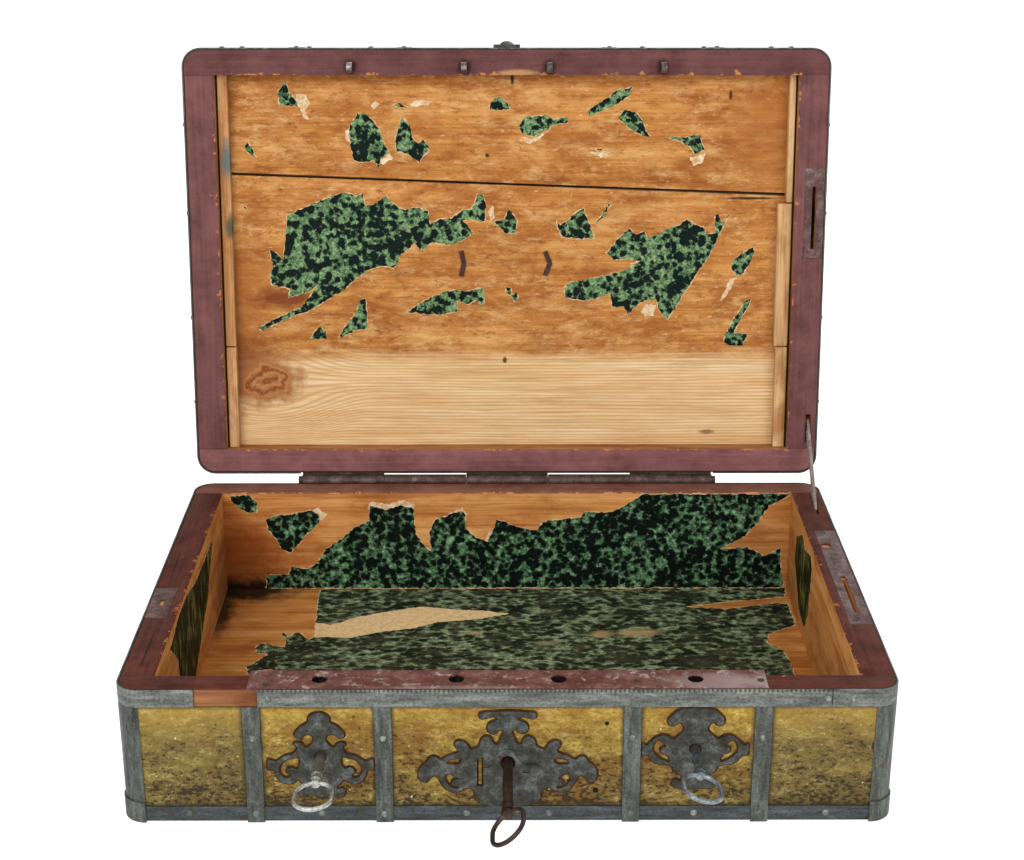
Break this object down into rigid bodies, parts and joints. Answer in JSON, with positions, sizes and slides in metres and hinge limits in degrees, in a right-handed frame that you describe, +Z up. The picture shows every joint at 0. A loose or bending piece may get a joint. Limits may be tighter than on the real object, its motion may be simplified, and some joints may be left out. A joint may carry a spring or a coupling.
{
  "type": "iron-bound coffer chest",
  "caption": "Low iron-bound wooden coffer with a hinged shallow lid, turning keys that throw sliding bolts, a slotted lid stay and a swinging bail handle.",
  "frame": {"origin": "centre of the case's flat underside", "axes": "+Z up, -Y towards the side with the keyholes, +X to the right as seen from that side; lid open"},
  "size_m": [0.585, 0.5923, 0.5101],
  "materials": {
    "pine": "aged unfinished pine, orange-brown, rims painted iron-oxide red",
    "ochre_covering": "thin ground painted ochre yellow, worn, flecked and stained",
    "wrought_iron": "wrought iron strip, blue-grey and lightly rusted",
    "dark_iron": "wrought iron plate, dark brown oxide",
    "bright_steel": "filed steel, handled bright",
    "sponged_paper": "torn lining paper, sponged dark green on pale ground"
  },
  "bodies": {
    "case": {"base_band": "wrought_iron", "case_back_board": "pine", "case_bottom_board": "pine", "case_covering": "ochre_covering", "case_front_board": "pine", "case_hinge_leaf": "wrought_iron", "case_left_board": "pine", "case_nails": "wrought_iron", "case_right_board": "pine", "case_strap_left_inner": "wrought_iron", "case_strap_left_outer": "wrought_iron", "case_strap_right_inner": "wrought_iron", "case_strap_right_outer": "wrought_iron", "corner_straps": "wrought_iron", "escutcheon_centre": "dark_iron", "escutcheon_left": "dark_iron", "escutcheon_right": "dark_iron", "hinge_pin": "wrought_iron", "keyhole_shield": "dark_iron", "lock_case_centre": "dark_iron", "lock_case_left": "dark_iron", "lock_case_right": "dark_iron", "paper_case": "sponged_paper", "rim_band_front": "wrought_iron", "rim_band_left": "wrought_iron", "rim_band_right": "wrought_iron", "rim_catch_plate": "dark_iron", "rim_slot_plate": "dark_iron", "selvage_plate": "dark_iron", "side_straps": "wrought_iron", "stay_keeper_pin": "dark_iron"},
    "lid": {"lid_back_board": "pine", "lid_back_rail": "pine", "lid_covering": "ochre_covering", "lid_front_board": "pine", "lid_front_rail": "pine", "lid_hinge_leaf": "wrought_iron", "lid_knob": "dark_iron", "lid_left_battens": "pine", "lid_left_rail": "pine", "lid_nails": "wrought_iron", "lid_right_battens": "pine", "lid_right_rail": "pine", "lid_rim_band": "wrought_iron", "lid_slot_plate": "dark_iron", "lid_staples": "dark_iron", "lid_straps": "wrought_iron", "handle_eyes": "dark_iron", "paper_lid": "sponged_paper", "stay_pivot_pin": "dark_iron"},
    "stay": {"lid_stay": "dark_iron"},
    "bail": {"bail_handle": "dark_iron"},
    "key_left": {"key_left": "bright_steel"},
    "bolt_left": {"lock_bolt_left": "dark_iron"},
    "key_centre": {"key_centre": "dark_iron"},
    "bolt_centre": {"lock_bolt_centre": "dark_iron"},
    "key_right": {"key_right": "bright_steel"},
    "bolt_right": {"lock_bolt_right": "dark_iron"}
  },
  "joints": [
    {"name": "lid_hinge", "type": "hinge", "parent": "case", "child": "lid", "pos_m": [0, 0.2018, 0.113], "axis": [1, 0, 0], "range_deg": [0, 98.2]},
    {"name": "stay_pivot", "type": "hinge", "parent": "lid", "child": "stay", "pos_m": [0.281, 0.21445, 0.16573], "axis": [1, 0, 0], "range_deg": [-49.1, 0]},
    {"name": "bail_swing", "type": "hinge", "parent": "lid", "child": "bail", "pos_m": [0, 0.26988, 0.30707], "axis": [1, 0, 0], "range_deg": [-11, 172]},
    {"name": "key_left_turn", "type": "hinge", "parent": "case", "child": "key_left", "pos_m": [-0.1395, -0.1935, 0.05704], "axis": [0, -1, 0], "range_deg": [-3, 177]},
    {"name": "bolt_left_slide", "type": "slide", "parent": "case", "child": "bolt_left", "axis": [-1, 0, 0], "range_m": [-0.00027, 0.01573]},
    {"name": "key_centre_turn", "type": "hinge", "parent": "case", "child": "key_centre", "pos_m": [0, -0.1935, 0.052], "axis": [0, -1, 0], "range_deg": [-38, 142]},
    {"name": "bolt_centre_slide", "type": "slide", "parent": "case", "child": "bolt_centre", "axis": [-1, 0, 0], "range_m": [-0.00338, 0.01262]},
    {"name": "key_right_turn", "type": "hinge", "parent": "case", "child": "key_right", "pos_m": [0.1395, -0.1935, 0.06307], "axis": [0, 1, 0], "range_deg": [-12, 168]},
    {"name": "bolt_right_slide", "type": "slide", "parent": "case", "child": "bolt_right", "axis": [1, 0, 0], "range_m": [-0.00107, 0.01493]}
  ],
  "couplings": [
    {"joint": "stay_pivot", "follows": "lid_hinge", "ratio": -0.5},
    {"joint": "key_left_turn", "follows": "bolt_left_slide", "rad_per_m": 196.35},
    {"joint": "key_centre_turn", "follows": "bolt_centre_slide", "rad_per_m": 196.35},
    {"joint": "key_right_turn", "follows": "bolt_right_slide", "rad_per_m": 196.35}
  ]
}
